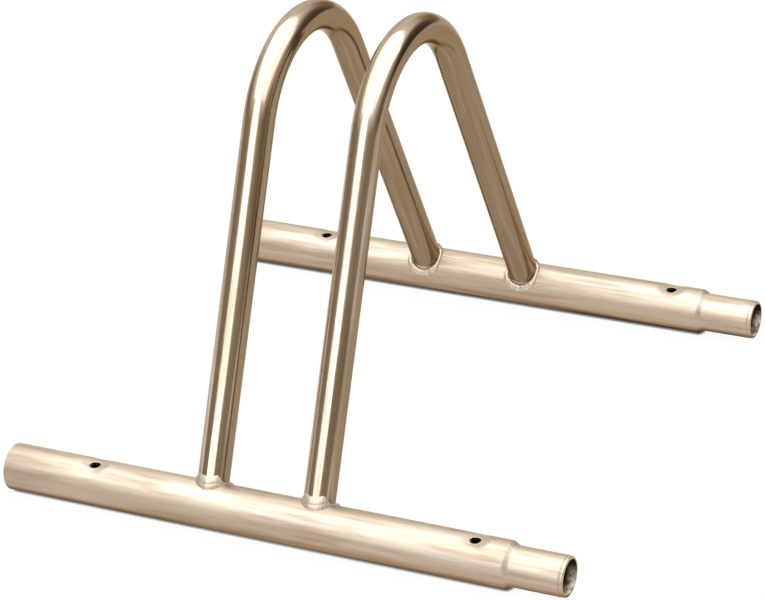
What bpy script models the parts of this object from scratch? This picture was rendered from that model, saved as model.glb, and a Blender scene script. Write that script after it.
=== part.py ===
"""Add-on floor rack for one bicycle, welded from plated steel tube.

Two base tubes lie on the ground. Each has an open socket at its -X end and a swaged
spigot at its +X end, so that further racks plug on in a row. Two tube hoops stand
across the base tubes, and the wheel goes between them. Both hoop feet are coped to
the base tube and carry a fillet weld all round. Four punched holes take ground screws.

Metres, +Z up. The origin is on the ground, in the middle of the footprint.
"""

import math

import bmesh
import bpy
from mathutils import Matrix, Vector

# Base tubes
BASE_OD = 0.030
BASE_WALL = 0.002
BASE_LENGTH = 0.380
BASE_SPACING = 0.333
END_CHAMFER = 0.0004

# Swaged spigot, which slides into the socket of the next rack
SPIGOT_CLEARANCE = 0.00025
SPIGOT_LENGTH = 0.033
SHOULDER_LENGTH = 0.007
LEAD_IN_LENGTH = 0.003
LEAD_IN_DROP = 0.0005

# Ground screw holes, punched down through both walls. The punch dishes the top wall round the hole.
SCREW_HOLE_D = 0.007
SCREW_HOLE_FROM_END = 0.060
DISH_DEPTH = 0.0018
DISH_D = 0.023

# Hoops
HOOP_OD = 0.020
HOOP_WALL = 0.0015
HOOP_HEIGHT = 0.280
HOOP_BEND_RADIUS = 0.070
WHEEL_GAP = 0.053
SLOT_FROM_SOCKET_END = 0.177

# Fillet welds, heavier on the outer side of the rack, where the torch has room and the bead climbs the leg
WELD_RADIUS_OUTER = 0.0034
WELD_RADIUS_INNER = 0.0028
WELD_STAND_OFF = 0.0006
WELD_CLIMB = 0.003

# Gap left between neighbouring pieces, so that their meshes never share a face
SEAM = 0.0003

# Fineness of the round shapes. Even numbers leave a flat facet on top and underneath.
BASE_SIDES = 32
HOOP_SIDES = 24
BEND_STEPS = 16
SHOULDER_STEPS = 4
DISH_STEPS = 4
HOLE_SIDES = 20
WELD_STEPS = 48
WELD_SIDES = 8

BASE_RADIUS = BASE_OD / 2
HOOP_RADIUS = HOOP_OD / 2
SPIGOT_RADIUS = BASE_RADIUS - BASE_WALL - SPIGOT_CLEARANCE
SOCKET_END_X = -BASE_LENGTH / 2
SPIGOT_END_X = BASE_LENGTH / 2
SLOT_X = SOCKET_END_X + SLOT_FROM_SOCKET_END
HOOP_PITCH = WHEEL_GAP + HOOP_OD
AXIS_Z = BASE_RADIUS
X_AXIS = Vector((1, 0, 0))

BASE_TUBES = {"front": -BASE_SPACING / 2, "rear": BASE_SPACING / 2}
HOOPS = {"left": SLOT_X - HOOP_PITCH / 2, "right": SLOT_X + HOOP_PITCH / 2}
SCREW_HOLES = {
    "socket": SOCKET_END_X + SCREW_HOLE_FROM_END,
    "spigot": SPIGOT_END_X - SCREW_HOLE_FROM_END,
}


def plated_steel(name, colour, roughness):
    """A metallic Principled material."""
    material = bpy.data.materials.new(name)
    material.use_nodes = True
    shader = material.node_tree.nodes["Principled BSDF"]
    shader.inputs["Base Color"].default_value = (*colour, 1)
    shader.inputs["Metallic"].default_value = 1
    shader.inputs["Roughness"].default_value = roughness
    return material


def corner_radius(radius, sides):
    """Corner radius of a polygon whose flats touch the circle of the given radius."""
    return radius / math.cos(math.pi / sides)


def smooth_step(t):
    """0 at t = 0 and 1 at t = 1, level at both ends."""
    t = min(max(t, 0), 1)
    return t * t * (3 - 2 * t)


def add_object(name, bm, location, material=None):
    """Turns a bmesh into a placed object. Without a material it is a cutter, left out of the build."""
    bmesh.ops.recalc_face_normals(bm, faces=bm.faces)
    mesh = bpy.data.meshes.new(name)
    bm.to_mesh(mesh)
    bm.free()
    mesh.shade_smooth()
    mesh.set_sharp_from_angle(angle=math.radians(35))
    thing = bpy.data.objects.new(name, mesh)
    thing.location = location
    bpy.context.scene.collection.objects.link(thing)
    if material:
        mesh.materials.append(material)
    else:
        thing.hide_render = True
        thing.display_type = "WIRE"
    return thing


def cut(target, cutter):
    """Live Boolean that takes the cutter out of the target."""
    modifier = target.modifiers.new(f"cut {cutter.name}", "BOOLEAN")
    modifier.operation = "DIFFERENCE"
    modifier.solver = "EXACT"
    modifier.object = cutter


def cylinder(radius, sides, start, end):
    """Closed cylinder between two points in a plane of constant X, or along X, with a flat facet on top."""
    run = end - start
    bm = bmesh.new()
    bmesh.ops.create_cone(
        bm,
        cap_ends=True,
        segments=sides,
        radius1=corner_radius(radius, sides),
        radius2=corner_radius(radius, sides),
        depth=run.length,
        matrix=Matrix.Translation((start + end) / 2) @ facing(run) @ half_facet_turn(sides),
    )
    return bm


def facing(direction):
    """Rotation that carries +Z to the direction and keeps X, or carries X to -Z for a run along X."""
    w = direction.normalized()
    u = X_AXIS if abs(w.x) < 0.5 else Vector((0, 0, -1))
    v = w.cross(u)
    return Matrix((u, v, w)).transposed().to_4x4()


def half_facet_turn(sides):
    """Turn that puts the middle of a facet, and not a corner, on the local X axis."""
    return Matrix.Rotation(math.pi / sides, 4, "Z")


def dish_drop(x, y):
    """How far the punch presses the top wall down at (x, y), measured in the tube's own frame."""
    distance = min(math.hypot(x - hole_x, y) for hole_x in SCREW_HOLES.values())
    rim = SCREW_HOLE_D / 2
    return DISH_DEPTH * (1 - smooth_step((distance - rim) / (DISH_D / 2 - rim)))


def dish_stations():
    """Ring positions that the dishes need, from the socket end to the spigot end."""
    rim = SCREW_HOLE_D / 2
    ramp = DISH_D / 2 - rim
    offsets = [rim / 2] + [rim + ramp * k / DISH_STEPS for k in range(DISH_STEPS + 1)]
    both_ways = sorted([-d for d in offsets] + offsets)
    return [hole_x + d for hole_x in sorted(SCREW_HOLES.values()) for d in both_ways]


def shoulder_stations():
    """(x, drop) along the swaged shoulder, which leads from the tube's radius to the spigot's."""
    start = SPIGOT_END_X - SPIGOT_LENGTH - SHOULDER_LENGTH
    fall = BASE_RADIUS - SPIGOT_RADIUS
    steps = [k / SHOULDER_STEPS for k in range(SHOULDER_STEPS + 1)]
    return [(start + SHOULDER_LENGTH * t, fall * smooth_step(t)) for t in steps]


def base_tube_profile():
    """Closed outline of the tube wall as (x, radius), out along the outside and back along the bore."""
    spigot_drop = BASE_RADIUS - SPIGOT_RADIUS
    lead_in_x = SPIGOT_END_X - LEAD_IN_LENGTH
    wall = [(SOCKET_END_X + END_CHAMFER, 0)]
    wall += [(x, 0) for x in dish_stations()]
    wall += shoulder_stations()
    wall += [(lead_in_x, spigot_drop)]
    outside = [(SOCKET_END_X, BASE_RADIUS - END_CHAMFER)]
    outside += [(x, BASE_RADIUS - drop) for x, drop in wall]
    outside += [
        (SPIGOT_END_X - END_CHAMFER, SPIGOT_RADIUS - LEAD_IN_DROP),
        (SPIGOT_END_X, SPIGOT_RADIUS - LEAD_IN_DROP - END_CHAMFER),
    ]
    bore = [(SPIGOT_END_X, SPIGOT_RADIUS - BASE_WALL)]
    bore += [(x, BASE_RADIUS - BASE_WALL - drop) for x, drop in reversed(wall[1:-1])]
    bore += [(SOCKET_END_X, BASE_RADIUS - BASE_WALL)]
    return outside + bore


def press_dishes(bm):
    """Presses the top of the wall down round the screw holes, outside and bore alike."""
    for vert in bm.verts:
        if vert.co.z > 0:
            vert.co.z -= dish_drop(vert.co.x, vert.co.y)


def build_base_tube(name, y, material):
    """One base tube: the wall outline spun about the axis, the dishes pressed, the screw holes cut."""
    bm = bmesh.new()
    turn = Matrix.Rotation(math.pi / BASE_SIDES, 3, "X")
    stretch = corner_radius(1, BASE_SIDES)
    verts = [bm.verts.new(turn @ Vector((x, 0, r * stretch))) for x, r in base_tube_profile()]
    edges = [bm.edges.new((a, b)) for a, b in zip(verts, verts[1:] + verts[:1])]
    bmesh.ops.spin(
        bm,
        geom=verts + edges,
        cent=(0, 0, 0),
        axis=X_AXIS,
        angle=math.tau,
        steps=BASE_SIDES,
        use_merge=True,
    )
    press_dishes(bm)
    tube = add_object(name, bm, (0, y, AXIS_Z), material)
    for end, hole_x in SCREW_HOLES.items():
        reach = Vector((0, 0, BASE_OD))
        centre = Vector((hole_x, y, AXIS_Z))
        bm = cylinder(SCREW_HOLE_D / 2, HOLE_SIDES, -reach, reach)
        cut(tube, add_object(f"{name}_{end}_end_screw_punch", bm, centre))
    return tube


def hoop_geometry():
    """Bend centre height, the legs' lean and their length: each leg aims at its base tube's axis."""
    centre_z = HOOP_HEIGHT - HOOP_RADIUS - HOOP_BEND_RADIUS
    half_span = BASE_SPACING / 2
    rise = centre_z - AXIS_Z
    sight = math.hypot(half_span, rise)
    lean = math.atan2(half_span, rise) - math.asin(HOOP_BEND_RADIUS / sight)
    leg_length = math.sqrt(sight * sight - HOOP_BEND_RADIUS * HOOP_BEND_RADIUS)
    return centre_z, lean, leg_length


def leg_direction(y):
    """Unit vector up the leg that stands on the base tube at y."""
    _, lean, _ = hoop_geometry()
    inwards = -math.copysign(math.sin(lean), y)
    return Vector((0, inwards, math.cos(lean)))


def extrude_loop(bm, edges, run):
    """Extrudes a loop of edges by a vector and returns the new loop."""
    made = bmesh.ops.extrude_edge_only(bm, edges=edges)["geom"]
    verts = {g for g in made if isinstance(g, bmesh.types.BMVert)}
    bmesh.ops.translate(bm, vec=run, verts=list(verts))
    return [g for g in made if isinstance(g, bmesh.types.BMEdge) and verts.issuperset(g.verts)]


def bent_tube_skin():
    """Outer skin of a hoop, open at both feet: up the front leg, round the bend, down the rear leg."""
    centre_z, lean, leg_length = hoop_geometry()
    up = leg_direction(BASE_TUBES["front"])
    down = Vector((0, up.y, -up.z))
    foot = Vector((0, BASE_TUBES["front"], AXIS_Z))
    bm = bmesh.new()
    bmesh.ops.create_circle(
        bm,
        segments=HOOP_SIDES,
        radius=corner_radius(HOOP_RADIUS, HOOP_SIDES),
        matrix=Matrix.Translation(foot) @ facing(up) @ half_facet_turn(HOOP_SIDES),
    )
    bend_start = extrude_loop(bm, list(bm.edges), up * leg_length)
    spun = bmesh.ops.spin(
        bm,
        geom=bend_start,
        cent=(0, 0, centre_z),
        axis=-X_AXIS,
        angle=math.pi - 2 * lean,
        steps=BEND_STEPS,
    )["geom_last"]
    bend_end = [g for g in spun if isinstance(g, bmesh.types.BMEdge)]
    extrude_loop(bm, bend_end, down * leg_length)
    return bm


def build_hoop(name, x, coping_cutters, material):
    """One hoop: the bent skin given its wall thickness inwards, then both feet coped to the base tubes."""
    hoop = add_object(name, bent_tube_skin(), (x, 0, 0), material)
    wall = hoop.modifiers.new("tube wall", "SOLIDIFY")
    wall.thickness = HOOP_WALL
    wall.offset = -1
    wall.use_even_offset = True
    for cutter in coping_cutters:
        cut(hoop, cutter)
    return hoop


def weld_ring_frame(up, angle):
    """Root of the weld at an angle round the leg, and the outward normals of leg and base tube."""
    across = up.cross(X_AXIS)
    leg_normal = X_AXIS * math.cos(angle) + across * math.sin(angle)
    side_step = HOOP_RADIUS * math.sin(angle)
    height = math.sqrt(BASE_RADIUS * BASE_RADIUS - side_step * side_step)
    root = leg_normal * HOOP_RADIUS + up * height
    base_normal = Vector((0, root.y, root.z)).normalized()
    return root, leg_normal, base_normal


def weld_section(angle, y):
    """Bead radius, and its climb up the leg, at an angle round the leg that stands on the base tube at y."""
    outwards = (1 + math.copysign(1, y) * math.sin(angle)) / 2
    radius = WELD_RADIUS_INNER + (WELD_RADIUS_OUTER - WELD_RADIUS_INNER) * outwards
    return radius, WELD_CLIMB * outwards * outwards


def build_weld(name, x, y, coping_cutter, material):
    """A bead along the corner of leg and base tube, trimmed to a fillet by both tubes."""
    up = leg_direction(y)
    angles = [math.tau * k / WELD_STEPS for k in range(WELD_STEPS)]
    frames = [weld_ring_frame(up, angle) for angle in angles]
    centres = [root + (leg_n + base_n) * WELD_STAND_OFF for root, leg_n, base_n in frames]
    bm = bmesh.new()
    rings = []
    for k, centre in enumerate(centres):
        along = (centres[(k + 1) % WELD_STEPS] - centres[k - 1]).normalized()
        outward = frames[k][1] + frames[k][2]
        outward = (outward - along * outward.dot(along)).normalized()
        sideways = along.cross(outward)
        radius, climb = weld_section(angles[k], y)
        ring = []
        for j in range(WELD_SIDES):
            turn = math.tau * (j + 0.5) / WELD_SIDES
            spoke = outward * math.cos(turn) + sideways * math.sin(turn)
            point = centre + spoke * corner_radius(radius, WELD_SIDES)
            share = max(0, (point - frames[k][0]).dot(up)) / (radius + WELD_STAND_OFF)
            ring.append(bm.verts.new(point + up * climb * share))
        rings.append(ring)
    for ring, following in zip(rings, rings[1:] + rings[:1]):
        for j in range(WELD_SIDES):
            after = (j + 1) % WELD_SIDES
            bm.faces.new((ring[j], ring[after], following[after], following[j]))
    bead = add_object(name, bm, (x, y, AXIS_Z), material)
    leg_end = up * (BASE_OD + HOOP_OD)
    leg_cutter = cylinder(HOOP_RADIUS + SEAM, HOOP_SIDES, Vector((0, 0, 0)), leg_end)
    cut(bead, add_object(f"{name}_leg_clearance", leg_cutter, (x, y, AXIS_Z)))
    cut(bead, coping_cutter)
    return bead


def build_coping_cutter(name, y):
    """The base tube's outside, grown by the seam, which shapes the hoop feet and the welds."""
    reach = X_AXIS * BASE_LENGTH
    return add_object(name, cylinder(BASE_RADIUS + SEAM, BASE_SIDES, -reach, reach), (0, y, AXIS_Z))


def main():
    for old in list(bpy.data.objects):
        bpy.data.objects.remove(old)
    tube_finish = plated_steel("plated_steel_tube", (0.60, 0.53, 0.44), 0.32)
    weld_finish = plated_steel("plated_weld", (0.50, 0.45, 0.39), 0.45)
    coping = {end: build_coping_cutter(f"{end}_coping", y) for end, y in BASE_TUBES.items()}
    for end, y in BASE_TUBES.items():
        build_base_tube(f"{end}_base_tube", y, tube_finish)
    for side, x in HOOPS.items():
        build_hoop(f"{side}_hoop", x, coping.values(), tube_finish)
        for end, y in BASE_TUBES.items():
            build_weld(f"{side}_hoop_{end}_weld", x, y, coping[end], weld_finish)


main()
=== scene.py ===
# %% [markdown]
# # A welded bike rack in plated steel tube
#
# The rack holds one wheel. Two base tubes lie on the ground, and two bent hoops stand on
# them with a fillet weld round each foot. The solid model comes in as a fixed frame. Its
# sizes are right but its tubes have flat facets, and in a polished tube every facet shows as
# a hard stripe. So each tube and each weld is made again here, finer and in the same place.

import math

import bmesh
import bpy
from mathutils import Matrix, Vector, noise


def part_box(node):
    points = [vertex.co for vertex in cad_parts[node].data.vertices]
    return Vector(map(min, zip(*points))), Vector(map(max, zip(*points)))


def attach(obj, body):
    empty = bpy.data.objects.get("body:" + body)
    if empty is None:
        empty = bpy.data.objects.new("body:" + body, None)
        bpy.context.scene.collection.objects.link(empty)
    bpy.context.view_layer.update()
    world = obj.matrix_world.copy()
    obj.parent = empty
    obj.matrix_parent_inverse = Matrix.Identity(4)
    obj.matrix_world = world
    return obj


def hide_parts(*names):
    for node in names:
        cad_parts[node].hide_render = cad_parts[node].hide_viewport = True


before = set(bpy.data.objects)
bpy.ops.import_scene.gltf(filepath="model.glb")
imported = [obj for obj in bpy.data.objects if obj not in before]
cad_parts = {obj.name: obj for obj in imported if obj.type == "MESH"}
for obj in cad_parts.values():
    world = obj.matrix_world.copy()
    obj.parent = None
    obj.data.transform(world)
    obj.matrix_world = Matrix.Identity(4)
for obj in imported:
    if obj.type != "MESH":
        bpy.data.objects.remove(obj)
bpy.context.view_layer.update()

# %% [markdown]
# The places of the tubes are measured from the frame, so that the fine pieces can't drift
# away from it. What can't be read off a box, such as a wall or the depth of a dish, is
# written down here once.

# %% Sizes
X_AXIS = Vector((1, 0, 0))


def middle(node):
    """Middle of a node's box."""
    low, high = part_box(node)
    return (Vector(low) + Vector(high)) / 2


base_low, base_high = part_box("front_base_tube")
BASE_RADIUS = (base_high[2] - base_low[2]) / 2
BASE_WALL = 0.002
SOCKET_END, SPIGOT_END = base_low[0], base_high[0]
SPIGOT_RADIUS = 0.01275
SPIGOT_LENGTH = 0.033
SHOULDER_LENGTH = 0.007
SCREW_HOLE_RADIUS = 0.0035
SCREW_HOLE_FROM_END = 0.060
DISH_RADIUS = 0.0115
DISH_DEPTH = 0.0018

hoop_low, hoop_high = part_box("left_hoop")
HOOP_RADIUS = (hoop_high[0] - hoop_low[0]) / 2
HOOP_WALL = 0.0015
HOOP_TOP = hoop_high[2]
BEND_RADIUS = 0.070

BASE_Y = {"front": middle("front_base_tube").y, "rear": middle("rear_base_tube").y}
HOOP_X = {"left": middle("left_hoop").x, "right": middle("right_hoop").x}
print("base tube radius", round(BASE_RADIUS, 5), "hoop radius", round(HOOP_RADIUS, 5))
print("base tubes at y", BASE_Y, "hoops at x", HOOP_X)

# %% [markdown]
# ## Camera
#
# The camera stands where the photographer's did: to the right of the rack's front, well
# above it, far back and with a long lens, so that the two base tubes hardly converge. It is
# turned a little about its own line of sight. The three angles make its axes directly, which
# keeps that turn exact, where a camera that tracks a target would level itself.

# %% Camera
CAMERA_PLACE = Vector((0.8021, -1.5946, 1.0332))
CAMERA_AZIMUTH = math.radians(26.85)
CAMERA_ELEVATION = math.radians(28.03)
CAMERA_ROLL = math.radians(-3.90)
CAMERA_LENS = 147.8
SENSOR_WIDTH = 36
FARTHEST_SEEN = 50


def add_camera():
    """The scene's camera, from its azimuth, elevation and roll."""
    back = Vector(
        (
            math.sin(CAMERA_AZIMUTH) * math.cos(CAMERA_ELEVATION),
            -math.cos(CAMERA_AZIMUTH) * math.cos(CAMERA_ELEVATION),
            math.sin(CAMERA_ELEVATION),
        )
    )
    level = Vector((math.cos(CAMERA_AZIMUTH), math.sin(CAMERA_AZIMUTH), 0))
    upright = back.cross(level)
    right = level * math.cos(CAMERA_ROLL) + upright * math.sin(CAMERA_ROLL)
    data = bpy.data.cameras.new("camera")
    data.lens = CAMERA_LENS
    data.sensor_width = SENSOR_WIDTH
    data.sensor_fit = "HORIZONTAL"
    data.clip_end = FARTHEST_SEEN
    camera = bpy.data.objects.new("camera", data)
    camera.matrix_world = (
        Matrix.Translation(CAMERA_PLACE)
        @ Matrix((right, back.cross(right), back)).transposed().to_4x4()
    )
    bpy.context.scene.collection.objects.link(camera)
    bpy.context.scene.camera = camera
    print("the camera is", round(CAMERA_PLACE.length, 2), "m from the rack")


add_camera()

# %% [markdown]
# ## Studio
#
# Polished tube has hardly any colour of its own. What the eye reads as its finish is the
# room in it: a bright window in front gives each leg its white stripe, a large soft panel
# overhead whitens the top of the base tubes, and the dim room between them gives the brown
# edges. So the lamps are placed by what they draw in the metal. The floor is white where the
# camera or the metal sees it, through Light Path, and keeps a little of the rack's shadow. To
# all other light it is plain pale ground, so it doesn't shine up at the rack like a lamp.

# %% Room
# height of the direction, 0 at eye level and 1 overhead, and the room's colour there
ROOM_COLOURS = (
    (0.00, (0.29, 0.215, 0.14, 1)),
    (0.28, (0.33, 0.26, 0.18, 1)),
    (0.48, (0.74, 0.67, 0.58, 1)),
    (0.85, (0.95, 0.90, 0.83, 1)),
)
# name: (direction, cosine where it starts, cosine where it is full, colour there)
ROOM_PARTS = {
    "dark corner, back right": ((0.60, 0.78, 0.17), 0.86, 0.97, (0.12, 0.09, 0.065)),
    "pale wall, back left": ((-0.62, 0.76, 0.20), 0.80, 0.97, (0.92, 0.87, 0.79)),
}


def new_node(tree, kind, **settings):
    """Adds a node and sets its plain settings or its sockets by name."""
    node = tree.nodes.new(kind)
    for key, value in settings.items():
        if hasattr(node, key):
            setattr(node, key, value)
        else:
            node.inputs[key.replace("_", " ")].default_value = value
    return node


def spread(tree, value, low, high, out_low=0.0, out_high=1.0, kind="LINEAR"):
    """Maps low to high of a value onto another range, clamped."""
    node = new_node(tree, "ShaderNodeMapRange", interpolation_type=kind)
    for key, number in zip(
        ("From Min", "From Max", "To Min", "To Max"), (low, high, out_low, out_high)
    ):
        node.inputs[key].default_value = number
    tree.links.new(value, node.inputs["Value"])
    return node.outputs["Result"]


def tint(tree, fac, below, above):
    """A colour between two colours, each a tuple or a socket. A Mix node's colours are 6 and 7."""
    node = new_node(tree, "ShaderNodeMix", data_type="RGBA")
    tree.links.new(fac, node.inputs["Factor"])
    for socket, value in ((node.inputs[6], below), (node.inputs[7], above)):
        if isinstance(value, tuple):
            socket.default_value = (*value, 1)
        else:
            tree.links.new(value, socket)
    return node.outputs[2]


def light_room():
    """A warm room, dim at eye level and paler above."""
    world = bpy.data.worlds.new("room")
    bpy.context.scene.world = world
    world.use_nodes = True
    tree = world.node_tree
    tree.nodes.clear()
    link = tree.links.new
    direction = new_node(tree, "ShaderNodeTexCoord").outputs["Generated"]
    split = new_node(tree, "ShaderNodeSeparateXYZ")
    link(direction, split.inputs["Vector"])
    colours = new_node(tree, "ShaderNodeValToRGB")
    ramp = colours.color_ramp
    ramp.elements.remove(ramp.elements[1])
    for position, colour in ROOM_COLOURS:
        (ramp.elements.new(position) if position else ramp.elements[0]).color = colour
    link(split.outputs["Z"], colours.inputs["Fac"])
    colour = colours.outputs["Color"]
    for place, start, full, shade in ROOM_PARTS.values():
        towards = new_node(tree, "ShaderNodeVectorMath", operation="DOT_PRODUCT")
        towards.inputs[1].default_value = place
        link(direction, towards.inputs[0])
        part = spread(tree, towards.outputs["Value"], start, full, kind="SMOOTHSTEP")
        colour = tint(tree, part, colour, shade)
    room = new_node(tree, "ShaderNodeBackground", Strength=1.0)
    link(colour, room.inputs["Color"])
    out = new_node(tree, "ShaderNodeOutputWorld")
    link(room.outputs["Background"], out.inputs["Surface"])


light_room()

# %% Floor
FLOOR_HALF_SIZE = 8
FLOOR_GAP = 0.0002
# how much of the rack's real shadow is seen on the white
SHADOW_SHARE = 0.04
# how far from the rack the floor darkens where it is seen, what is left of its white right at
# the rack, and the openness of a point where it is darkest and where it is white again
CONTACT_REACH = 0.0018
CONTACT_SHADE = 0.15
CONTACT_OPENNESS = (0.3, 0.95)
OPENNESS_SAMPLES = 8
PALE = (0.9, 0.9, 0.9, 1)
WHITE = (1, 1, 1, 1)


def either(tree, *sockets):
    """The larger of some values."""
    value = sockets[0]
    for other in sockets[1:]:
        node = new_node(tree, "ShaderNodeMath", operation="MAXIMUM")
        tree.links.new(value, node.inputs[0])
        tree.links.new(other, node.inputs[1])
        value = node.outputs["Value"]
    return value


def mix_shaders(tree, fac, below, above):
    """A shader between two shaders."""
    node = new_node(tree, "ShaderNodeMixShader")
    if isinstance(fac, float):
        node.inputs["Fac"].default_value = fac
    else:
        tree.links.new(fac, node.inputs["Fac"])
    tree.links.new(below, node.inputs[1])
    tree.links.new(above, node.inputs[2])
    return node.outputs["Shader"]


def floor_material():
    """White with a share of the real shadow where camera or metal sees it, else plain pale."""
    material = bpy.data.materials.new("floor")
    material.use_nodes = True
    tree = material.node_tree
    tree.nodes.clear()
    pale = new_node(tree, "ShaderNodeBsdfDiffuse", Color=PALE).outputs["BSDF"]
    rays = new_node(tree, "ShaderNodeLightPath").outputs
    openness = new_node(
        tree, "ShaderNodeAmbientOcclusion", samples=OPENNESS_SAMPLES, Distance=CONTACT_REACH
    )
    light = spread(tree, openness.outputs["AO"], *CONTACT_OPENNESS, CONTACT_SHADE, 1.0)
    white = new_node(tree, "ShaderNodeEmission", Color=WHITE)
    tree.links.new(light, white.inputs["Strength"])
    seen = mix_shaders(tree, SHADOW_SHARE, white.outputs["Emission"], pale)
    is_seen = either(
        tree, rays["Is Camera Ray"], rays["Is Glossy Ray"], rays["Is Transmission Ray"]
    )
    out = new_node(tree, "ShaderNodeOutputMaterial")
    tree.links.new(mix_shaders(tree, is_seen, pale, seen), out.inputs["Surface"])
    material.cycles.emission_sampling = "NONE"
    return material


def add_floor():
    """A wide floor just under the tubes."""
    bm = bmesh.new()
    bmesh.ops.create_grid(bm, x_segments=1, y_segments=1, size=FLOOR_HALF_SIZE)
    bmesh.ops.translate(bm, vec=(0, 0, -FLOOR_GAP), verts=bm.verts)
    mesh = bpy.data.meshes.new("floor")
    bm.to_mesh(mesh)
    bm.free()
    mesh.materials.append(floor_material())
    floor = bpy.data.objects.new("floor", mesh)
    bpy.context.scene.collection.objects.link(floor)


add_floor()

# %% Lamps
# name: (middle, width, height, the point it faces, radiance)
LAMPS = {
    "overhead panel": ((0.05, -0.15, 1.50), 3.0, 2.4, (0.05, -0.15, 0), 1.7),
    "front window": ((-0.11, -1.20, 0.85), 1.0, 1.06, (-0.11, 0, 0.85), 2.0),
}


def add_lamp(name, place, width, height, target, radiance):
    """A rectangular lamp. An area lamp of P watts and area A looks as bright as P / (pi A)."""
    data = bpy.data.lights.new(name, "AREA")
    data.shape = "RECTANGLE"
    data.size = width
    data.size_y = height
    data.energy = radiance * math.pi * width * height
    lamp = bpy.data.objects.new(name, data)
    lamp.location = place
    lamp.rotation_euler = (Vector(target) - Vector(place)).to_track_quat("-Z", "Y").to_euler()
    lamp.visible_camera = False
    bpy.context.scene.collection.objects.link(lamp)
    print(name, "gives", round(data.energy, 1), "W")


for name, values in LAMPS.items():
    add_lamp(name, *values)

# %% [markdown]
# ## Finishes
#
# The tube was drawn through a die and then zinc plated. Drawing leaves fine lines along the
# tube, and plating leaves soft clouds, a little pinker here and yellower there. A hoop is
# painted browner away from its outer face and darker on its inner side. A base tube is painted
# browner lower down and nearly black along its bottom. All of this is painted shade.
# The lines have to follow the tube round its bend, where object coordinates would cut across
# it. So every piece carries its place along the straight tube, before bending, in an
# attribute. Noise that is stretched along that place draws the lines, and the height in it
# says which side is which.

# %% Helpers for finishes
PLACE_ON_TUBE = "place_on_tube"
NOISE_ROUGHNESS = 0.55
BUMP_STRENGTH = 0.6


def start_finish(name, metallic=1.0, edge=(1, 1, 1)):
    """A material with its shader, its colour at a glancing angle, and the place along the tube."""
    material = bpy.data.materials.new(name)
    material.use_nodes = True
    tree = material.node_tree
    shader = tree.nodes["Principled BSDF"]
    shader.inputs["Metallic"].default_value = metallic
    shader.inputs["Specular Tint"].default_value = (*edge, 1)
    place = new_node(tree, "ShaderNodeAttribute", attribute_name=PLACE_ON_TUBE)
    return material, tree, shader, place.outputs["Vector"]


def noise_along(tree, place, scale, detail):
    """Noise with its own scale, in cycles per metre, along and across the tube."""
    stretch = new_node(tree, "ShaderNodeMapping", vector_type="POINT")
    stretch.inputs["Scale"].default_value = scale
    field = new_node(
        tree, "ShaderNodeTexNoise", Scale=1.0, Detail=detail, Roughness=NOISE_ROUGHNESS
    )
    tree.links.new(place, stretch.inputs["Vector"])
    tree.links.new(stretch.outputs["Vector"], field.inputs["Vector"])
    return field.outputs["Fac"]


def add_bump(tree, shader, height, distance):
    """Bump from a height field, in metres."""
    node = new_node(tree, "ShaderNodeBump", Distance=distance, Strength=BUMP_STRENGTH)
    tree.links.new(height, node.inputs["Height"])
    tree.links.new(node.outputs["Normal"], shader.inputs["Normal"])


# %% Plated tube
# noise in cycles per metre along the tube and twice across it
BAND_SCALE = (7, 150, 150)
FINE_LINE_SCALE = (40, 1900, 1900)
CLOUD_SCALE = (30, 52, 52)
# the noise value where a colour starts and where it is full, then its least and largest share
PINK_CLOUDS = (0.44, 0.62)
PALE_BANDS = (0.46, 0.64, 0.0, 0.7)
DEEP_LINES = (0.48, 0.66, 0.0, 0.6)
# the line noise where the roughness starts to rise and where it is full, and how far it goes
# below and above the finish's own
ROUGH_LINES = (0.40, 0.66)
SMOOTHER, ROUGHER = 0.04, 0.07
FINE_LINE_HEIGHT = 0.00004
# how far the edge of the sheltered side wanders up and down, and the band values that steer it
WANDER = 0.002
WANDER_BANDS = (0.3, 0.7)


def plated_tube(name, colours, painted_shade_edge, painted_dark_shade_edge, line_scale, roughness):
    """Zinc plate over drawn tube, with lines and clouds, and painted shade on its lower side."""
    material, tree, shader, place = start_finish(name, edge=colours["edge"])
    lines = noise_along(tree, place, line_scale, detail=4)
    bands = noise_along(tree, place, BAND_SCALE, detail=2)
    fine_lines = noise_along(tree, place, FINE_LINE_SCALE, detail=2)
    clouds = noise_along(tree, place, CLOUD_SCALE, detail=3)
    colour = tint(tree, spread(tree, clouds, *PINK_CLOUDS), colours["main"], colours["pink"])
    colour = tint(tree, spread(tree, bands, *PALE_BANDS), colour, colours["pale"])
    # painted shade: browner on the tube's lower side
    painted_shade = painted_shade_side(tree, place, bands, painted_shade_edge)
    colour = tint(tree, painted_shade, colour, colours["painted_shade"])
    line = spread(tree, lines, *DEEP_LINES)
    colour = tint(tree, line, colour, colours["deep"])
    # painted shade again, darkest lowest on that side
    painted_dark_shade_colour = tint(tree, line, colours["painted_dark_shade"], colours["painted_dark_shade_line"])
    painted_dark_shade = painted_shade_side(tree, place, bands, painted_dark_shade_edge)
    colour = tint(tree, painted_dark_shade, colour, painted_dark_shade_colour)
    tree.links.new(colour, shader.inputs["Base Color"])
    rough = spread(tree, lines, *ROUGH_LINES, roughness - SMOOTHER, roughness + ROUGHER)
    tree.links.new(rough, shader.inputs["Roughness"])
    add_bump(tree, shader, fine_lines, FINE_LINE_HEIGHT)
    return material


def painted_shade_side(tree, place, bands, edge):
    """0 where no shade is painted, 1 where it is full, with an edge that wanders by the bands."""
    split = new_node(tree, "ShaderNodeSeparateXYZ")
    tree.links.new(place, split.inputs["Vector"])
    wander = spread(tree, bands, *WANDER_BANDS, -WANDER, WANDER)
    height = new_node(tree, "ShaderNodeMath", operation="ADD")
    tree.links.new(split.outputs["Z"], height.inputs[0])
    tree.links.new(wander, height.inputs[1])
    return spread(tree, height.outputs["Value"], *edge)
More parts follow.
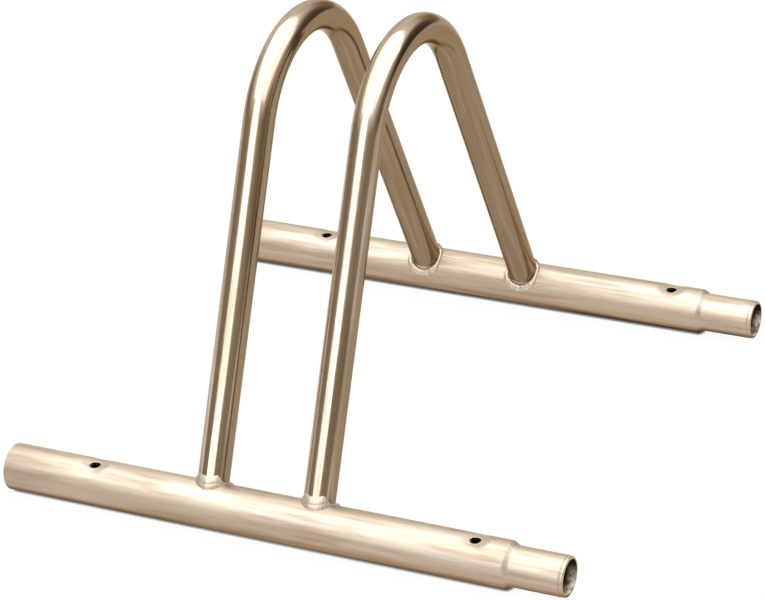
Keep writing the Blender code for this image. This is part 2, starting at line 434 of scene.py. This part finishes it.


# pale is in bands, pink in clouds and deep in lines. The three colours after deep are painted
# shade, darker towards the tube's lower side, and edge is the colour at a glancing angle.
BASE_COLOURS = {
    "main": (0.60, 0.53, 0.44),
    "pale": (0.66, 0.61, 0.54),
    "pink": (0.60, 0.505, 0.42),
    "deep": (0.40, 0.29, 0.20),
    "painted_shade": (0.46, 0.30, 0.18),
    "painted_dark_shade": (0.030, 0.018, 0.011),
    "painted_dark_shade_line": (0.050, 0.030, 0.018),
    "edge": (0.70, 0.62, 0.54),
}
HOOP_COLOURS = {
    "main": (0.60, 0.53, 0.435),
    "pale": (0.66, 0.60, 0.51),
    "pink": (0.58, 0.49, 0.41),
    "deep": (0.36, 0.27, 0.185),
    "painted_shade": (0.29, 0.20, 0.12),
    "painted_dark_shade": (0.23, 0.155, 0.095),
    "painted_dark_shade_line": (0.36, 0.27, 0.185),
    "edge": (0.70, 0.60, 0.50),
}
# the edges of the two painted shades are heights over the tube's axis: where each starts and is
# full
base_finish = plated_tube(
    "plated_base_tube",
    BASE_COLOURS,
    painted_shade_edge=(0.007, -0.008),
    painted_dark_shade_edge=(-0.0050, -0.0120),
    line_scale=(16, 250, 250),
    roughness=0.50,
)
hoop_finish = plated_tube(
    "plated_hoop",
    HOOP_COLOURS,
    painted_shade_edge=(0.008, 0.0035),
    painted_dark_shade_edge=(-0.004, -0.014),
    line_scale=(12, 430, 430),
    roughness=0.16,
)

# %% [markdown]
# The weld beads were plated with the rest, but their skin froze in ripples, so they are
# rougher and catch more points of light. The grooves between the ripples are duller, and are
# painted darker as painted shade. The mesh says where the grooves are, in an attribute, and
# the colour follows it.

# %% Weld and inside finishes
GROOVE = "groove"
WELD_GRAIN_SCALE = (700, 700, 700)
WELD_GRAIN_HEIGHT = 0.00012
# the noise or groove value where a change starts and where it is full, then its range
DARK_GRAIN = (0.4, 0.7)
# the darkening in the grooves is painted shade
PAINTED_GROOVE_SHADE = (0.5, 1.0, 0.0, 0.5)
ROUGH_GROOVE = (0.3, 1.0, 0.48, 0.60)
WELD_COLOURS = {
    "pale": (0.72, 0.64, 0.56),
    "dark": (0.56, 0.47, 0.38),
    # the colour of the painted shade in the grooves
    "groove": (0.38, 0.29, 0.21),
}
BORE_LINE_SCALE = (12, 400, 400)
BORE_LINE_HEIGHT = 0.0002
BORE_BLOTCH_SCALE = (260, 260, 260)
DEEPEST_LINES = (0.4, 0.7)
DARK_BLOTCHES = (0.42, 0.60)
ROUGH_BLOTCHES = (0.3, 0.7, 0.60, 0.80)
# deep colours: a dark bore with painted shade; mouth colours: painted light low near the ends
BORE_COLOURS = {
    "deep": (0.022, 0.014, 0.008),
    "deepest": (0.009, 0.006, 0.004),
    "mouth": (0.80, 0.71, 0.61),
    "mouth blotches": (0.24, 0.18, 0.13),
}
# depths from the tube's end where the mouth's painted light has faded out and where it is full
PAINTED_LIGHT_FADE = (0.0065, 0.001)
# heights over the tube's axis where the mouth's painted light starts and is full
PAINTED_LIGHT_LOW_SIDE = (0.002, -0.006)
BORE_SHINE = 0.05


def plated_weld():
    """Rippled weld metal, with painted shade in the grooves."""
    material, tree, shader, place = start_finish("plated_weld")
    groove = new_node(tree, "ShaderNodeAttribute", attribute_name=GROOVE).outputs["Fac"]
    grain = noise_along(tree, place, WELD_GRAIN_SCALE, detail=3)
    dark = spread(tree, grain, *DARK_GRAIN)
    colour = tint(tree, dark, WELD_COLOURS["pale"], WELD_COLOURS["dark"])
    colour = tint(tree, spread(tree, groove, *PAINTED_GROOVE_SHADE), colour, WELD_COLOURS["groove"])
    tree.links.new(colour, shader.inputs["Base Color"])
    tree.links.new(spread(tree, groove, *ROUGH_GROOVE), shader.inputs["Roughness"])
    add_bump(tree, shader, grain, WELD_GRAIN_HEIGHT)
    return material


def dull_bore():
    """Inside of the tube: painted light low near its ends; deeper in, dark and dull with painted
    shade.
    """
    material, tree, shader, place = start_finish("dull_bore", metallic=0.0)
    shader.inputs["Specular IOR Level"].default_value = BORE_SHINE
    lines = noise_along(tree, place, BORE_LINE_SCALE, detail=4)
    blotches = noise_along(tree, place, BORE_BLOTCH_SCALE, detail=4)
    line = spread(tree, lines, *DEEPEST_LINES)
    deep = tint(tree, line, BORE_COLOURS["deep"], BORE_COLOURS["deepest"])
    split = new_node(tree, "ShaderNodeSeparateXYZ")
    tree.links.new(place, split.inputs["Vector"])
    reach = new_node(tree, "ShaderNodeMath", operation="ABSOLUTE")
    tree.links.new(split.outputs["X"], reach.inputs[0])
    # painted light: near each end and low down in the bore
    near = spread(tree, reach.outputs["Value"], *(SPIGOT_END - depth for depth in PAINTED_LIGHT_FADE))
    low_down = spread(tree, split.outputs["Z"], *PAINTED_LIGHT_LOW_SIDE)
    lit = new_node(tree, "ShaderNodeMath", operation="MULTIPLY")
    tree.links.new(near, lit.inputs[0])
    tree.links.new(low_down, lit.inputs[1])
    blotch = spread(tree, blotches, *DARK_BLOTCHES)
    mouth = tint(tree, blotch, BORE_COLOURS["mouth"], BORE_COLOURS["mouth blotches"])
    tree.links.new(tint(tree, lit.outputs["Value"], deep, mouth), shader.inputs["Base Color"])
    tree.links.new(spread(tree, blotches, *ROUGH_BLOTCHES), shader.inputs["Roughness"])
    add_bump(tree, shader, lines, BORE_LINE_HEIGHT)
    return material


weld_finish = plated_weld()
bore_finish = dull_bore()

# %% [markdown]
# ## Making a piece
#
# Every piece ends the same way. The mesh becomes an object at the origin, is shaded smooth,
# gets its finishes, rides on the frame's only body and takes the place of its solid.

# %% Finish a piece
SHARP_ANGLE = math.radians(40)


def add_piece(name, bm, finishes, node):
    """Makes the object from a bmesh, in place of the frame's node."""
    mesh = bpy.data.meshes.new(name)
    bm.to_mesh(mesh)
    bm.free()
    mesh.shade_smooth()
    mesh.set_sharp_from_angle(angle=SHARP_ANGLE)
    for finish in finishes:
        mesh.materials.append(finish)
    piece = bpy.data.objects.new(name, mesh)
    bpy.context.scene.collection.objects.link(piece)
    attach(piece, "root")
    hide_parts(node)
    print(name, len(mesh.polygons), "faces")


def smooth_step(t):
    """0 at t = 0 and 1 at t = 1, level at both ends."""
    t = min(max(t, 0.0), 1.0)
    return t * t * (3 - 2 * t)


# %% [markdown]
# ## Base tubes
#
# Each base tube is a length of plain tube. One end was squeezed through a smaller die, which
# drew the spigot and left a rounded shoulder. A punch then made the screw holes and pushed
# the wall down round them. The mesh follows the same order. The wall's outline is drawn once
# as a closed loop and spun about the axis, then the vertices near each hole are pressed down,
# and last a Boolean punches the hole. A cylinder with a scaled end would have given the
# spigot too, but not the curve of the shoulder, which is what makes it look swaged.

# %% Outline of the tube wall
BASE_STEPS = 128
HOLE_STEPS = 72
HOLE_X = (SOCKET_END + SCREW_HOLE_FROM_END, SPIGOT_END - SCREW_HOLE_FROM_END)
SHOULDER_START = SPIGOT_END - SPIGOT_LENGTH - SHOULDER_LENGTH
RIM_ROUND = 0.0005
DISH_RINGS = 46
SHOULDER_RINGS = 20
# shares of the shoulder's length: where the radius starts to fall, and over how much it falls
FALL_START, FALL_SHARE = 0.14, 0.74


def steps(start, end, count):
    """Evenly spaced values, with both ends."""
    return [start + (end - start) * k / count for k in range(count + 1)]


# round the socket's rim: how far along from its end, and how far below the tube's surface
SOCKET_TIP = ((0.0, RIM_ROUND), (0.0002, 0.0001), (RIM_ROUND, 0.0))
# how far the bore widens at the socket's end
SOCKET_FLARE = 0.0002
# the turned line and the lead-in: how far back from the spigot's end, and how far below its
# surface
SPIGOT_TIP = (
    (0.0031, 0.0),
    (0.0028, 0.00005),
    (0.00255, 0.00032),
    (0.0023, 0.00032),
    (0.0020, 0.0001),
    (0.0016, 0.0001),
    (0.0006, 0.00025),
    (0.0002, 0.00045),
    (0.0, 0.0008),
)
# the spigot's mouth: how far back from its end, and how far the bore widens
SPIGOT_FLARE = ((0.0, 0.0003), (0.0004, 0.0))


def wall_outline():
    """(x, radius) round the wall: out along the outside, back along the bore."""
    outside = [(SOCKET_END + along, BASE_RADIUS - drop) for along, drop in SOCKET_TIP]
    for hole_x in HOLE_X:
        dish = steps(hole_x - DISH_RADIUS, hole_x + DISH_RADIUS, DISH_RINGS)
        outside += [(x, BASE_RADIUS) for x in dish]
    fall = BASE_RADIUS - SPIGOT_RADIUS
    for t in steps(0, 1, SHOULDER_RINGS):
        drop = fall * smooth_step((t - FALL_START) / FALL_SHARE)
        outside.append((SHOULDER_START + SHOULDER_LENGTH * t, BASE_RADIUS - drop))
    inside = [(x, r - BASE_WALL) for x, r in reversed(outside[len(SOCKET_TIP) :])]
    outside += [(SPIGOT_END - back, SPIGOT_RADIUS - drop) for back, drop in SPIGOT_TIP]
    bore = SPIGOT_RADIUS - BASE_WALL
    mouth = [(SPIGOT_END - back, bore + flare) for back, flare in SPIGOT_FLARE]
    return outside + mouth + inside + [(SOCKET_END, BASE_RADIUS - BASE_WALL + SOCKET_FLARE)]


print("the wall's outline has", len(wall_outline()), "points")

# %% Spin, press and punch
# the turned lip is full a little inside the hole's edge, and gone one width further out
LIP_DEPTH = 0.0004
LIP_WIDTH = 0.0009
LIP_IN_HOLE = 0.0002
PUNCH_LENGTH = 3 * BASE_RADIUS


def dish_depth(x, y):
    """How far the wall is pressed down at (x, y): a wide dish, and a short lip at the hole."""
    away = min(math.hypot(x - hole_x, y) for hole_x in HOLE_X)
    dish = 1 - smooth_step((away - SCREW_HOLE_RADIUS) / (DISH_RADIUS - SCREW_HOLE_RADIUS))
    lip = 1 - smooth_step((away - SCREW_HOLE_RADIUS + LIP_IN_HOLE) / LIP_WIDTH)
    return DISH_DEPTH * dish + LIP_DEPTH * lip


def spin_wall():
    """The wall's outline turned about the tube's axis, and the dishes pressed in."""
    bm = bmesh.new()
    verts = [bm.verts.new((x, 0, r)) for x, r in wall_outline()]
    edges = [bm.edges.new((a, b)) for a, b in zip(verts, verts[1:] + verts[:1])]
    bmesh.ops.spin(
        bm,
        geom=verts + edges,
        cent=(0, 0, 0),
        axis=X_AXIS,
        angle=math.tau,
        steps=BASE_STEPS,
        use_merge=True,
    )
    for vert in bm.verts:
        if vert.co.z > 0:
            vert.co.z -= dish_depth(vert.co.x, vert.co.y)
    bmesh.ops.recalc_face_normals(bm, faces=bm.faces)
    return bm


def punch(bm):
    """The same wall with both screw holes through it."""
    solids = []
    for name, source in (("wall", bm), ("punches", punches())):
        mesh = bpy.data.meshes.new(name)
        source.to_mesh(mesh)
        source.free()
        solids.append(bpy.data.objects.new(name, mesh))
        bpy.context.scene.collection.objects.link(solids[-1])
    wall, cutter = solids
    modifier = wall.modifiers.new("punch", "BOOLEAN")
    modifier.operation = "DIFFERENCE"
    modifier.solver = "EXACT"
    modifier.object = cutter
    punched = bmesh.new()
    punched.from_object(wall, bpy.context.evaluated_depsgraph_get())
    for solid in solids:
        bpy.data.objects.remove(solid)
    return punched


def punches():
    """Two upright cylinders at the screw holes."""
    bm = bmesh.new()
    for hole_x in HOLE_X:
        bmesh.ops.create_cone(
            bm,
            cap_ends=True,
            segments=HOLE_STEPS,
            radius1=SCREW_HOLE_RADIUS,
            radius2=SCREW_HOLE_RADIUS,
            depth=PUNCH_LENGTH,
            matrix=Matrix.Translation((hole_x, 0, 0)),
        )
    return bm


# %% Lay the base tubes
# moves each tube to another part of the noise, so that no two look the same
BASE_PATTERN = {"front": 0.0, "rear": 0.2}
# a face whose normal has more than this along the tube's axis is the ring at an end
RING_FACE = 0.9


def mark_bore(bm):
    """Faces of the bore take the second finish."""
    for face in bm.faces:
        centre = face.calc_center_median()
        outwards = face.normal.dot(Vector((0, centre.y, centre.z)))
        face.material_index = 1 if outwards < 0 and abs(face.normal.x) < RING_FACE else 0


def lay_base_tube(end):
    """One base tube in its place."""
    bm = punch(spin_wall())
    mark_bore(bm)
    place = bm.verts.layers.float_vector.new(PLACE_ON_TUBE)
    shift = Vector((0, BASE_PATTERN[end], 0))
    for vert in bm.verts:
        vert[place] = vert.co + shift
    bmesh.ops.translate(bm, vec=(0, BASE_Y[end], BASE_RADIUS), verts=bm.verts)
    add_piece(
        f"{end}_base_tube_fine", bm, (base_finish, bore_finish), f"{end}_base_tube"
    )


for end in BASE_Y:
    lay_base_tube(end)

# %% [markdown]
# ## Hoops
#
# A bender makes a hoop from one straight length: it leaves two straight legs and rolls the
# middle round a former. The mesh is bent in the same way. A straight wall is spun, each
# vertex notes its place on the straight tube, and then every cross-section is carried to its
# place on the bent line. The feet are cut to the curve of the base tube, as a notcher does
# it, by sliding the end vertices along the leg until they meet the base tube.

# %% The bent line
HOOP_STEPS = 96
HALF_SPAN = (BASE_Y["rear"] - BASE_Y["front"]) / 2
BEND_CENTRE_Z = HOOP_TOP - HOOP_RADIUS - BEND_RADIUS
RISE = BEND_CENTRE_Z - BASE_RADIUS
SIGHT = math.hypot(HALF_SPAN, RISE)
LEAN = math.atan2(HALF_SPAN, RISE) - math.asin(BEND_RADIUS / SIGHT)
LEG = math.sqrt(SIGHT**2 - BEND_RADIUS**2)
BEND = BEND_RADIUS * (math.pi - 2 * LEAN)
HOOP_LENGTH = 2 * LEG + BEND
print("legs lean", round(math.degrees(LEAN), 2), "degrees, tube length", round(HOOP_LENGTH, 4))


def on_bent_line(s):
    """Point on the hoop's centre line and its direction, s metres from the front tube's axis."""
    if s > HOOP_LENGTH / 2:
        point, along = on_bent_line(HOOP_LENGTH - s)
        return Vector((0, -point.y, point.z)), Vector((0, along.y, -along.z))
    up = Vector((0, math.sin(LEAN), math.cos(LEAN)))
    if s <= LEG:
        return Vector((0, -HALF_SPAN, BASE_RADIUS)) + up * s, up
    turn = LEAN + (s - LEG) / BEND_RADIUS
    outwards = Vector((0, -math.cos(turn), math.sin(turn)))
    along = Vector((0, math.sin(turn), math.cos(turn)))
    return Vector((0, 0, BEND_CENTRE_Z)) + outwards * BEND_RADIUS, along


def foot_height(across):
    """Where the leg's surface meets the base tube, measured up the leg from the tube's axis."""
    return math.sqrt(BASE_RADIUS**2 - across**2)


# %% Spin a straight tube, bend it, notch its feet
# first ring that stays plain, above the notch
FIRST_RING = 0.0165
LEG_RINGS = 24
BEND_RINGS = 72
HOOP_PATTERN = {"left": 0.4, "right": 0.6}


def straight_tube():
    """A straight closed wall along X, with its rings where the legs and the bend need them."""
    ring_places = steps(FIRST_RING, LEG, LEG_RINGS) + steps(LEG, LEG + BEND, BEND_RINGS)[1:]
    ring_places += steps(LEG + BEND, HOOP_LENGTH - FIRST_RING, LEG_RINGS)[1:]
    ring_places = [0.0] + ring_places + [HOOP_LENGTH]
    outline = [(s, HOOP_RADIUS) for s in ring_places]
    outline += [(s, HOOP_RADIUS - HOOP_WALL) for s in reversed(ring_places)]
    bm = bmesh.new()
    verts = [bm.verts.new((s, 0, r)) for s, r in outline]
    edges = [bm.edges.new((a, b)) for a, b in zip(verts, verts[1:] + verts[:1])]
    bmesh.ops.spin(
        bm,
        geom=verts + edges,
        cent=(0, 0, 0),
        axis=X_AXIS,
        angle=math.tau,
        steps=HOOP_STEPS,
        use_merge=True,
    )
    bmesh.ops.recalc_face_normals(bm, faces=bm.faces)
    return bm


def bend_hoop(side):
    """One hoop in its place."""
    bm = straight_tube()
    place = bm.verts.layers.float_vector.new(PLACE_ON_TUBE)
    shift = Vector((0, HOOP_PATTERN[side], 0))
    for vert in bm.verts:
        s, across, outwards = vert.co.x, vert.co.y, vert.co.z
        s = min(max(s, foot_height(across)), HOOP_LENGTH - foot_height(across))
        vert[place] = Vector((s, across, outwards)) + shift
        point, along = on_bent_line(s)
        normal = X_AXIS.cross(along)
        vert.co = point + X_AXIS * (across + HOOP_X[side]) + normal * outwards
    bmesh.ops.recalc_face_normals(bm, faces=bm.faces)
    add_piece(f"{side}_hoop_fine", bm, (hoop_finish,), f"{side}_hoop")


for side in HOOP_X:
    bend_hoop(side)

# %% [markdown]
# ## Welds
#
# A fillet weld fills the corner between leg and base tube. The torch moved round the foot in
# short steps, and each step froze as one ripple that overlaps the last. The bead starts here
# as a spun ring. Each vertex is then carried to the true corner of the two tubes, and the
# ripples and lumps are raised on it. On the outer side of the rack the torch had room for two
# passes: the bead climbs the leg there, its edges run out thin, and a shallow valley is left
# between the passes. A plain ring would look like a washer, because its edges never run out.

# %% Beads
BEAD_STEPS = 240
BEAD_SIDES = 40
# reach up the leg, reach along the base tube, swell, height of the ripples over the bead's size,
# and how thin both toes run out: 1 is a blunt round section
BEAD = {
    "front": {
        "right": (0.0010, 0.0008, 0.0004, 0.04, 1.2),
        "left": (0.0024, 0.0011, 0.0006, 0.05, 1.6),
        "inner": (0.0005, 0.0044, 0.0015, 0.06, 1.0),
        "outer": (0.0078, 0.0010, 0.0005, 0.04, 2.2),
    },
    "rear": {
        "right": (0.0015, 0.0014, 0.0008, 0.05, 1.2),
        "left": (0.0008, 0.0018, 0.0005, 0.05, 1.2),
        "inner": (0.0003, 0.0047, 0.0016, 0.06, 1.0),
        "outer": (0.0078, 0.0034, 0.0007, 0.03, 2.4),
    },
}
# the outer row holds alone where outer_side squared passes the first, the inner row where
# outer_side is below minus the second
OUTER_FULL, INNER_FULL = 0.72, 0.85
# ripples round the foot, how uneven their steps are and how often that changes, the lean of a
# crest, where 1 is upright, and how far it bows at the toes
RIPPLES = 30
RIPPLE_UNEVEN = 1.3
RIPPLE_UNEVEN_SCALE = 2.2
RIPPLE_LEAN = 0.7
RIPPLE_BOW = 0.10
# lumps in the bead's size, how many per metre, and how far the noise moves from bead to bead
LUMPS = 0.12
LUMP_SCALE = 210
BEAD_SEED = 3.7
# how far the bead's back sinks behind the corner, so that no gap shows
SINK = 0.0005
# the second pass of the torch overlaps the first and leaves a shallow valley on the outer side.
# its place and width are shares of the bead's half width
VALLEY_DEPTH = 0.0003
VALLEY_PLACE = 0.2
VALLEY_WIDTH = 0.13
# mean radius of the ring that is spun, over its section's
RING_RADIUS = 10
# radians to both sides, to see which way the corner runs
SMALL_TURN = 0.01


def corner(up, angle):
    """The corner of leg and base tube at an angle round the leg, and the way out of both tubes."""
    leg_out = X_AXIS * math.cos(angle) + up.cross(X_AXIS) * math.sin(angle)
    root = leg_out * HOOP_RADIUS + up * foot_height(HOOP_RADIUS * math.sin(angle))
    base_out = Vector((0, root.y, root.z)).normalized()
    return root, leg_out, base_out


def mix(low, high, share):
    """Numbers between two rows of numbers."""
    return [a + (b - a) * share for a, b in zip(low, high)]


def outer_side(angle, end):
    """1 on the foot's outer side, away from the rack's middle, and -1 on its inner side."""
    return -math.sin(angle) if end == "front" else math.sin(angle)


def bead_section(angle, end):
    """The row of BEAD at an angle round the leg."""
    sides = BEAD[end]
    section = mix(sides["left"], sides["right"], smooth_step((1 + math.cos(angle)) / 2))
    outer = outer_side(angle, end)
    section = mix(section, sides["outer"], smooth_step(outer * abs(outer) / OUTER_FULL))
    return mix(section, sides["inner"], smooth_step(-outer / INNER_FULL))


def bead_toes(up, angle, up_leg, along_base):
    """The corner, the bead's ends on leg and base tube, and the way out between them."""
    root, leg_out, base_out = corner(up, angle)
    ahead, behind = corner(up, angle + SMALL_TURN)[0], corner(up, angle - SMALL_TURN)[0]
    travel = (ahead - behind).normalized()
    away = travel.cross(base_out).normalized()
    away *= math.copysign(along_base, away.dot(leg_out))
    on_leg = root + up * up_leg
    on_base = root + away
    round_base = Vector((0, on_base.y, on_base.z)).normalized() * BASE_RADIUS
    on_base = Vector((on_base.x, round_base.y, round_base.z))
    out = travel.cross(on_base - on_leg).normalized()
    out *= math.copysign(1, out.dot(leg_out + base_out))
    return root, on_leg, on_base, out


def ripple(angle, seed):
    """0 in a groove and 1 on a ripple's crest, with uneven steps round the foot."""
    round_foot = RIPPLE_UNEVEN_SCALE * math.cos(angle), RIPPLE_UNEVEN_SCALE * math.sin(angle)
    uneven = RIPPLE_UNEVEN * noise.noise(Vector((*round_foot, seed)))
    phase = (RIPPLES * angle / math.tau + uneven) % 1.0
    return math.sin(math.pi * phase**RIPPLE_LEAN)


def spin_ring():
    """A round ring about Z with a section of radius 1."""
    bm = bmesh.new()
    turn = Matrix.Translation((RING_RADIUS, 0, 0)) @ Matrix.Rotation(math.pi / 2, 4, "X")
    bmesh.ops.create_circle(bm, segments=BEAD_SIDES, radius=1, matrix=turn)
    bmesh.ops.spin(
        bm,
        geom=list(bm.verts) + list(bm.edges),
        cent=(0, 0, 0),
        axis=(0, 0, 1),
        angle=math.tau,
        steps=BEAD_STEPS,
        use_merge=True,
    )
    return bm


def lay_bead(side, end, seed):
    """One bead round a foot: it swells out between its toes and sinks to the corner behind."""
    up = Vector((0, math.sin(LEAN) * (1 if end == "front" else -1), math.cos(LEAN)))
    origin = Vector((HOOP_X[side], BASE_Y[end], BASE_RADIUS))
    bm = spin_ring()
    place = bm.verts.layers.float_vector.new(PLACE_ON_TUBE)
    groove = bm.verts.layers.float.new(GROOVE)
    for vert in bm.verts:
        angle = math.atan2(vert.co.y, vert.co.x)
        outwards, sideways = math.hypot(vert.co.x, vert.co.y) - RING_RADIUS, vert.co.z
        up_leg, along_base, swell, ripple_height, thin = bead_section(angle, end)
        root, on_leg, on_base, out = bead_toes(up, angle, up_leg, along_base)
        centre = (on_leg + on_base) / 2
        crest = ripple(angle + RIPPLE_BOW * sideways**2, seed)
        lump = noise.noise(root * LUMP_SCALE + Vector((seed, 0, 0)))
        size = 1 + ripple_height * crest + LUMPS * lump
        if outwards > 0:
            valley = math.exp(-(((sideways - VALLEY_PLACE) / VALLEY_WIDTH) ** 2))
            rise = swell * outwards**thin
            rise -= VALLEY_DEPTH * valley * smooth_step(outer_side(angle, end))
        else:
            rise = outwards * ((centre - root).dot(out) + SINK)
        vert[place] = centre + Vector((seed, 0, 0))
        vert[groove] = 1 - crest
        vert.co = origin + centre + ((on_base - on_leg) / 2 * sideways + out * rise) * size
    bmesh.ops.recalc_face_normals(bm, faces=bm.faces)
    add_piece(
        f"{side}_hoop_{end}_weld_fine", bm, (weld_finish,), f"{side}_hoop_{end}_weld"
    )


for number, (side, end) in enumerate((s, e) for s in HOOP_X for e in BASE_Y):
    lay_bead(side, end, BEAD_SEED * (number + 1))

# %% [markdown]
# ## View
#
# The last cell sets the plain view transform. The solid model's pieces stay in the scene,
# hidden, beside the fine ones.

# %% View transform
bpy.context.scene.view_settings.view_transform = "Standard"
